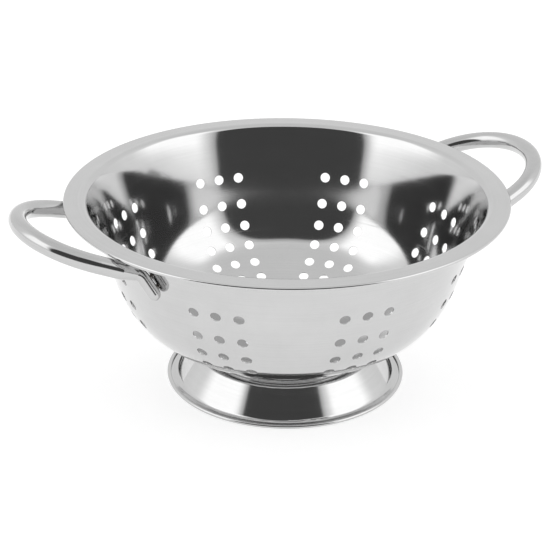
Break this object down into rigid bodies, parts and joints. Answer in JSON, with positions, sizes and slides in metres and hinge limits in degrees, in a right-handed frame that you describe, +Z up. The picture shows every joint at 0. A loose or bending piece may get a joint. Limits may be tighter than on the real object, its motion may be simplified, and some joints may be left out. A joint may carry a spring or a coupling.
{
  "type": "colander",
  "caption": "Footed kitchen colander: a perforated pressed steel bowl with a rolled rim, a flared foot ring and a bent tube loop handle on each side.",
  "frame": {"origin": "centre of the foot ring, on the surface that the colander stands on", "axes": "+Z up along the bowl's axis, +X out through the middle of the right handle, +Y from the user's side to the far side"},
  "size_m": [0.28, 0.221, 0.1084],
  "materials": {
    "bowl_steel": "mirror polished stainless steel",
    "foot_steel": "mirror polished stainless steel",
    "handle_steel": "mirror polished stainless steel",
    "weld_steel": "dull weld spots in stainless steel"
  },
  "bodies": {
    "root": {"bowl": "bowl_steel", "foot_ring": "foot_steel", "handle_left": "handle_steel", "handle_right": "handle_steel", "foot_welds": "weld_steel", "handle_welds": "weld_steel"}
  },
  "joints": []
}
